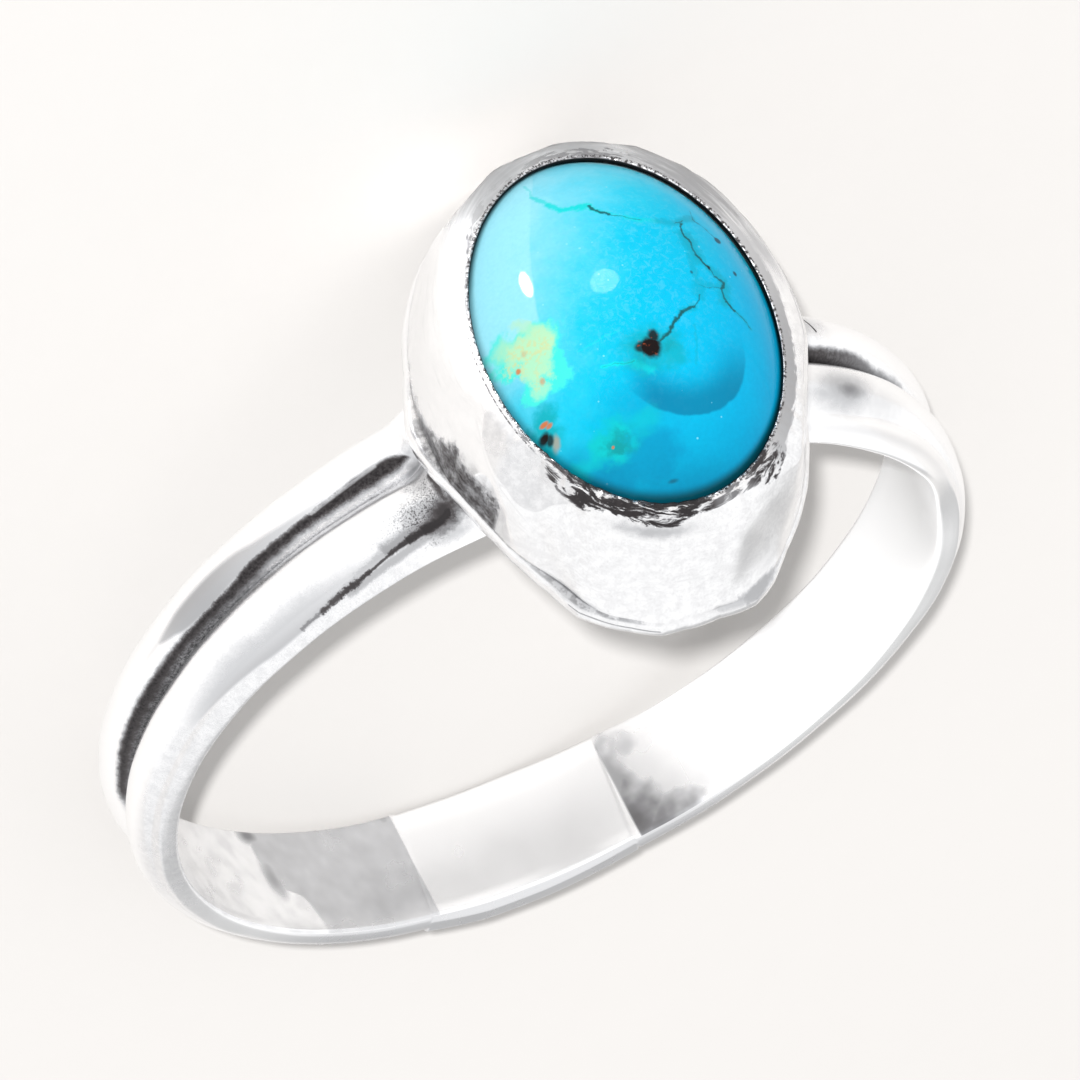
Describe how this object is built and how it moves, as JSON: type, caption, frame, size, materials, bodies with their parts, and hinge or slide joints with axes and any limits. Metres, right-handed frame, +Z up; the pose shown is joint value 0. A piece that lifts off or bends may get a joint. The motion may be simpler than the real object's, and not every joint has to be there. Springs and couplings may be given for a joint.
{
  "type": "finger ring with oval turquoise cabochon",
  "caption": "Silver finger ring lying on its side: double half-round shank and a heavy hand-filed oval bezel holding a domed turquoise",
  "frame": {"origin": "Middle of the ring's outline on the surface it lies on", "axes": "+Z up from the surface, X across the ring's width, the stone faces -Y and a little upwards, the finger's axis leans from +Z towards +Y"},
  "size_m": [0.0188, 0.0226, 0.0106],
  "materials": {
    "silver": "bright hand-polished silver with dark oxide left in the groove, the lip and round the foot of the setting",
    "turquoise": "glossy polished blue turquoise with brown and green matrix"
  },
  "bodies": {
    "root": {"silver_ring": "silver", "turquoise_stone": "turquoise"}
  },
  "joints": []
}
